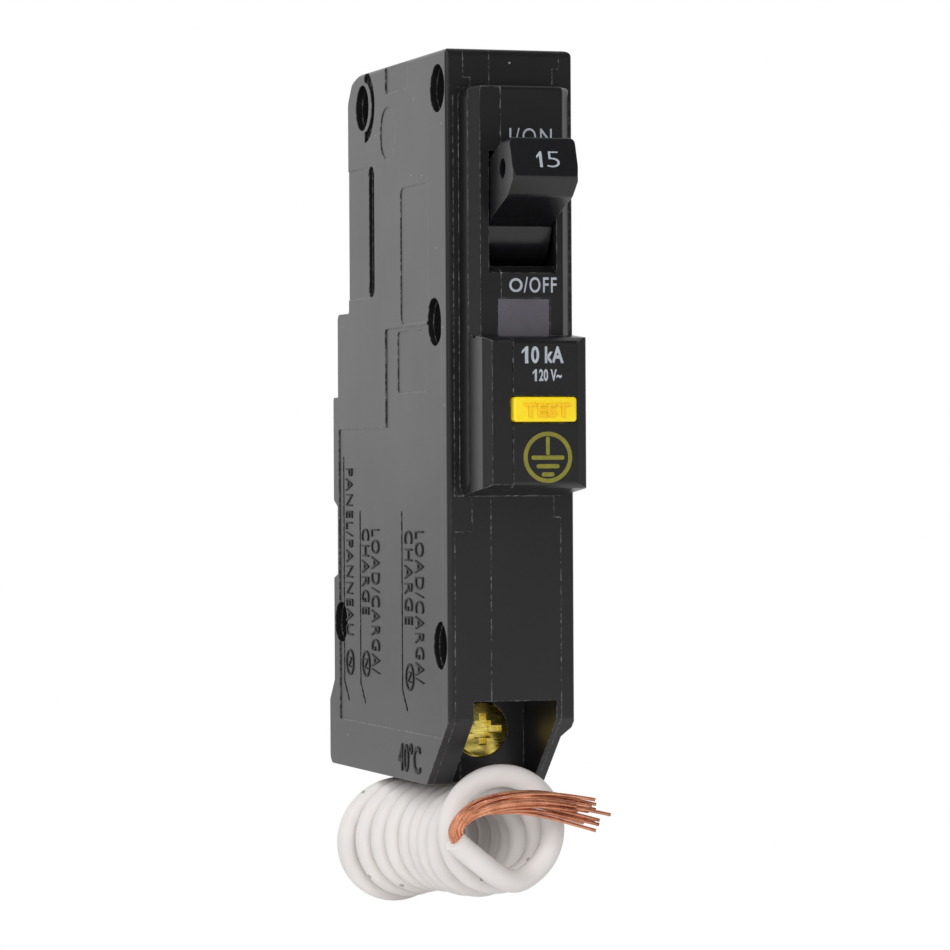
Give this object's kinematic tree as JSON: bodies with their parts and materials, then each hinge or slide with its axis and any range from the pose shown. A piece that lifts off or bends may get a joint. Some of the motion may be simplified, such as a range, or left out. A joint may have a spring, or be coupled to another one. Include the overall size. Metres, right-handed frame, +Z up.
{
  "type": "gfci breaker",
  "caption": "Single-pole plug-on circuit breaker with ground-fault protection: toggle handle, yellow test button, load terminals and a coiled white neutral wire.",
  "frame": {"origin": "middle of the flat face at the back of the case that rests in the panel", "axes": "+Z up along the case towards the line end (handle on is up), -Y out of the front, +X right as seen from the front"},
  "size_m": [0.0291, 0.0777, 0.1245],
  "materials": {
    "case_plastic": "fine moulded grain, black",
    "handle_plastic": "smooth black",
    "clear_plastic": "clear moulded",
    "red_flag": "smooth",
    "yellow_plastic": "satin yellow",
    "plated_steel": "zinc plated",
    "spring_steel": "drawn wire",
    "copper": "rolled copper",
    "silver_contact": "silver alloy",
    "bimetal_strip": "rolled",
    "fibre_board": "vulcanised fibre",
    "yellow_brass": "yellow plated",
    "circuit_laminate": "solder mask",
    "moulded_component": "moulded epoxy",
    "component_coating": "dipped coating",
    "ferrite": "sintered",
    "magnet_wire": "enamelled winding",
    "bobbin_plastic": "natural nylon",
    "white_insulation": "white wire insulation",
    "bare_copper": "bare stranded copper"
  },
  "bodies": {
    "case": {"arc_chute_sides": "fibre_board", "arc_plates": "plated_steel", "armature_pin": "plated_steel", "bimetal": "bimetal_strip", "calibration_screw": "plated_steel", "capacitors": "component_coating", "case_rivets": "plated_steel", "circuit_board": "circuit_laminate", "control_chip": "moulded_component", "cradle_pin": "plated_steel", "flexible_braid": "copper", "grounding_toroid": "ferrite", "grounding_winding": "magnet_wire", "indicator_lens": "clear_plastic", "jaw_spring_clip": "plated_steel", "left_cover": "case_plastic", "left_housing": "case_plastic", "line_jaw": "copper", "line_strap": "copper", "load_strap": "copper", "load_terminal_plate": "yellow_brass", "magnet_yoke": "plated_steel", "neutral_conductor": "white_insulation", "neutral_terminal_plate": "yellow_brass", "pigtail_bare_end": "bare_copper", "pigtail_coil": "white_insulation", "pigtail_lead": "white_insulation", "pigtail_tail": "white_insulation", "plunger_spring": "spring_steel", "resistors": "component_coating", "right_cover": "case_plastic", "right_housing": "case_plastic", "sensing_toroid": "ferrite", "sensing_winding": "magnet_wire", "solenoid_bobbin": "bobbin_plastic", "solenoid_coil": "magnet_wire", "solenoid_frame": "plated_steel", "stationary_contact": "silver_contact", "surge_varistor": "component_coating", "test_button_spring": "spring_steel", "test_contacts": "copper", "thyristor": "moulded_component", "toggle_spring": "spring_steel"},
    "handle": {"handle": "handle_plastic", "contact_arm_pin": "plated_steel"},
    "contact_arm": {"contact_arm": "copper", "moving_contact": "silver_contact"},
    "cradle": {"cradle": "plated_steel"},
    "armature": {"armature": "plated_steel"},
    "trip_flag": {"trip_flag": "red_flag"},
    "solenoid_plunger": {"solenoid_plunger": "plated_steel"},
    "test_button": {"test_button": "yellow_plastic"},
    "load_screw": {"load_terminal_screw": "yellow_brass"},
    "load_clamp": {"load_pressure_plate": "yellow_brass"},
    "neutral_screw": {"neutral_terminal_screw": "yellow_brass"},
    "neutral_clamp": {"neutral_pressure_plate": "yellow_brass"}
  },
  "joints": [
    {"name": "handle_toggle", "type": "hinge", "parent": "case", "child": "handle", "pos_m": [0.0002, -0.0558, 0.033], "axis": [1, 0, 0], "range_deg": [0, 44], "deforming": ["toggle_spring", "flexible_braid"]},
    {"name": "contact_arm_pivot", "type": "hinge", "parent": "handle", "child": "contact_arm", "pos_m": [0.0002, -0.0487, 0.0319], "axis": [1, 0, 0], "range_deg": [-45, 2]},
    {"name": "cradle_trip", "type": "hinge", "parent": "case", "child": "cradle", "pos_m": [0.006, -0.0437, 0.0254], "axis": [-1, 0, 0], "range_deg": [0, 12], "deforming": ["toggle_spring"]},
    {"name": "trip_flag_slide", "type": "slide", "parent": "case", "child": "trip_flag", "axis": [0, 0, 1], "range_m": [0, 0.0061]},
    {"name": "armature_pull", "type": "hinge", "parent": "case", "child": "armature", "pos_m": [0.0006, -0.0217, 0.0166], "axis": [1, 0, 0], "range_deg": [0, 2.5], "stiffness_Nm_per_rad": 0.002, "springref_deg": -5.73},
    {"name": "solenoid_stroke", "type": "slide", "parent": "case", "child": "solenoid_plunger", "axis": [0, 0, -1], "range_m": [0, 0.003], "stiffness_N_per_m": 60, "springref_m": -0.003, "deforming": ["plunger_spring"]},
    {"name": "test_button_press", "type": "slide", "parent": "case", "child": "test_button", "axis": [0, 1, 0], "range_m": [0, 0.0012], "stiffness_N_per_m": 400, "springref_m": -0.002, "deforming": ["test_button_spring"]},
    {"name": "load_screw_turn", "type": "hinge", "parent": "load_clamp", "child": "load_screw", "pos_m": [0, -0.0452, -0.041], "axis": [0, 1, 0], "range_deg": [0, 1361.6]},
    {"name": "load_clamp_slide", "type": "slide", "parent": "case", "child": "load_clamp", "axis": [0, 1, 0], "range_m": [0, 0.003]},
    {"name": "neutral_screw_turn", "type": "hinge", "parent": "neutral_clamp", "child": "neutral_screw", "pos_m": [0, -0.02528, -0.04462], "axis": [0, 0.766, 0.6428], "range_deg": [0, 1361.6]},
    {"name": "neutral_clamp_slide", "type": "slide", "parent": "case", "child": "neutral_clamp", "axis": [0, 0.766, 0.6428], "range_m": [0, 0.003]}
  ],
  "couplings": [
    {"joint": "contact_arm_pivot", "follows": "handle_toggle", "ratio": -0.9},
    {"joint": "trip_flag_slide", "follows": "cradle_trip", "m_per_rad": 0.028648},
    {"joint": "load_screw_turn", "follows": "load_clamp_slide", "rad_per_m": 7915.8},
    {"joint": "neutral_screw_turn", "follows": "neutral_clamp_slide", "rad_per_m": 7915.8}
  ]
}
